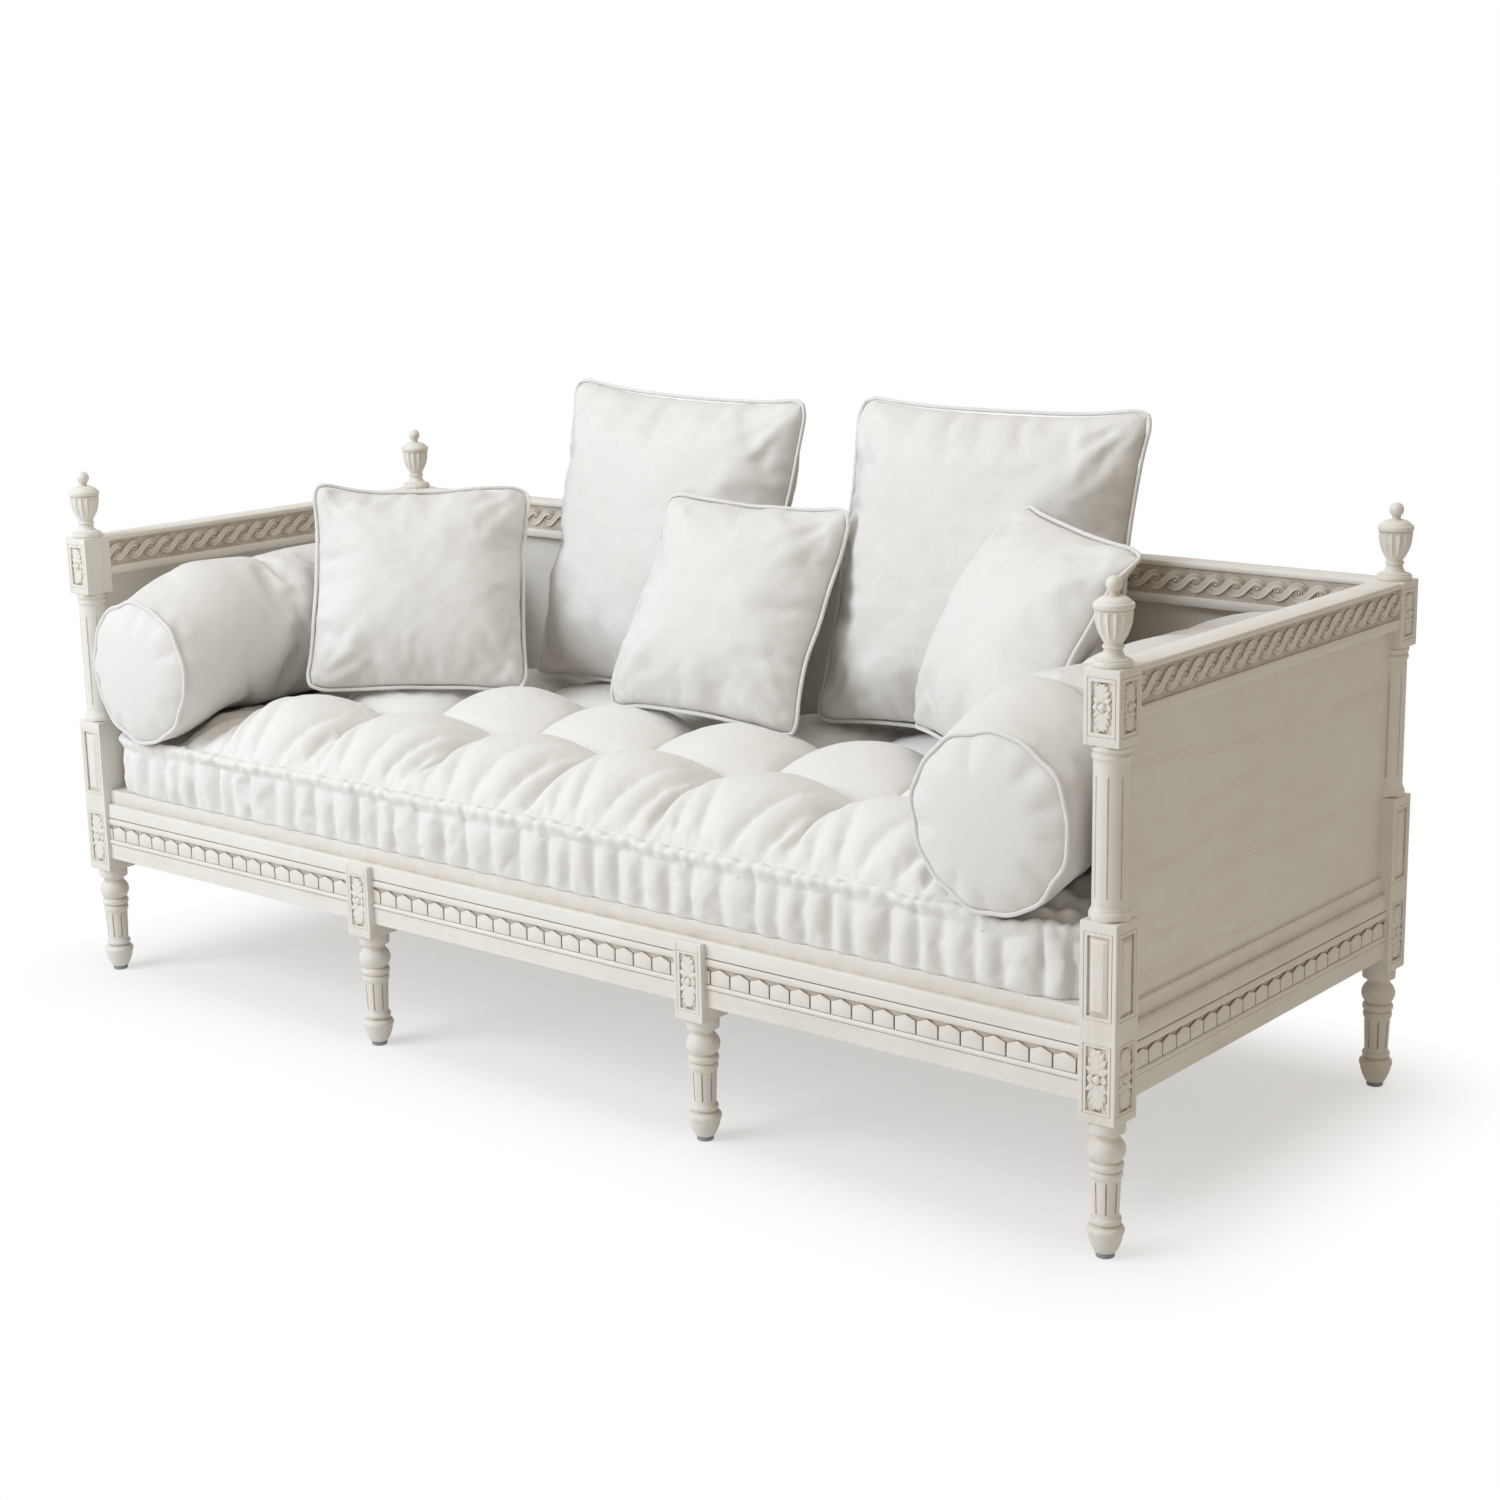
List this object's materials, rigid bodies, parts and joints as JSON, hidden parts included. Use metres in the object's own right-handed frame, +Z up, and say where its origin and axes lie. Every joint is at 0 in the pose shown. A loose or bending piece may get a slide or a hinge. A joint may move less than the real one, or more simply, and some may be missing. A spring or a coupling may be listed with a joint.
{
  "type": "daybed sofa",
  "caption": "Carved and painted wooden daybed sofa on turned legs, with panelled arms and back, a loose tufted mattress, square pillows and bolsters.",
  "frame": {"origin": "on the floor under the middle of the wooden frame", "axes": "+X along the length, to the right as seen from the front; +Y towards the back; +Z up"},
  "size_m": [2.1546, 0.8831, 1.0428],
  "materials": {
    "ivory_paint": "aged ivory paint over carved wood, brown wash in the recesses",
    "panel_paint": "flat greige paint over boarded wood",
    "pine": "bare planed pine",
    "grey_plastic": "moulded, matte",
    "cotton": "plain woven off-white cotton with self piping",
    "ticking": "plain woven off-white cotton, hand stitched and tufted"
  },
  "bodies": {
    "frame": {"post_front_left": "ivory_paint", "finial_front_left": "ivory_paint", "rosette_block_front_left": "ivory_paint", "leg_front_left": "ivory_paint", "glide_front_left": "grey_plastic", "leg_front_mid_left": "ivory_paint", "glide_front_mid_left": "grey_plastic", "post_front_right": "ivory_paint", "finial_front_right": "ivory_paint", "rosette_block_front_right": "ivory_paint", "leg_front_right": "ivory_paint", "glide_front_right": "grey_plastic", "leg_front_mid_right": "ivory_paint", "glide_front_mid_right": "grey_plastic", "post_back_left": "ivory_paint", "finial_back_left": "ivory_paint", "rosette_block_back_left": "ivory_paint", "leg_back_left": "ivory_paint", "glide_back_left": "grey_plastic", "leg_back_mid_left": "ivory_paint", "glide_back_mid_left": "grey_plastic", "post_back_right": "ivory_paint", "finial_back_right": "ivory_paint", "rosette_block_back_right": "ivory_paint", "leg_back_right": "ivory_paint", "glide_back_right": "grey_plastic", "leg_back_mid_right": "ivory_paint", "glide_back_mid_right": "grey_plastic", "rail_front": "ivory_paint", "rail_back": "ivory_paint", "rail_left": "ivory_paint", "rail_right": "ivory_paint", "top_rail_back": "ivory_paint", "panel_back": "panel_paint", "top_rail_left": "ivory_paint", "panel_left": "panel_paint", "top_rail_right": "ivory_paint", "panel_right": "panel_paint", "cleat_front": "pine", "cleat_back": "pine", "slat_1": "pine", "slat_2": "pine", "slat_3": "pine", "slat_4": "pine", "slat_5": "pine", "slat_6": "pine", "slat_7": "pine", "slat_8": "pine", "slat_9": "pine"},
    "mattress": {"mattress": "ticking"},
    "bolster_left": {"bolster_left": "cotton"},
    "bolster_right": {"bolster_right": "cotton"},
    "pillow_large_left": {"pillow_large_left": "cotton"},
    "pillow_large_right": {"pillow_large_right": "cotton"},
    "pillow_small_left": {"pillow_small_left": "cotton"},
    "pillow_small_mid": {"pillow_small_mid": "cotton"},
    "pillow_small_right": {"pillow_small_right": "cotton"}
  },
  "joints": [
    {"name": "mattress_lift", "type": "slide", "parent": "frame", "child": "mattress", "axis": [0, 0, 1], "range_m": [0, 0.25]},
    {"name": "bolster_left_pull", "type": "slide", "parent": "mattress", "child": "bolster_left", "axis": [0, -1, 0], "range_m": [0, 0.3]},
    {"name": "bolster_right_pull", "type": "slide", "parent": "mattress", "child": "bolster_right", "axis": [0, -1, 0], "range_m": [0, 0.3]},
    {"name": "pillow_large_left_lift", "type": "slide", "parent": "mattress", "child": "pillow_large_left", "axis": [0, 0, 1], "range_m": [0, 0.3]},
    {"name": "pillow_large_right_lift", "type": "slide", "parent": "mattress", "child": "pillow_large_right", "axis": [0.1939, 0.1503, 0.9694], "range_m": [0, 0.3]},
    {"name": "pillow_small_left_lift", "type": "slide", "parent": "mattress", "child": "pillow_small_left", "axis": [0, 0, 1], "range_m": [0, 0.3]},
    {"name": "pillow_small_mid_lift", "type": "slide", "parent": "pillow_large_left", "child": "pillow_small_mid", "axis": [0, 0, 1], "range_m": [0, 0.3]},
    {"name": "pillow_small_right_lift", "type": "slide", "parent": "pillow_large_right", "child": "pillow_small_right", "axis": [0, 0, 1], "range_m": [0, 0.3]}
  ]
}
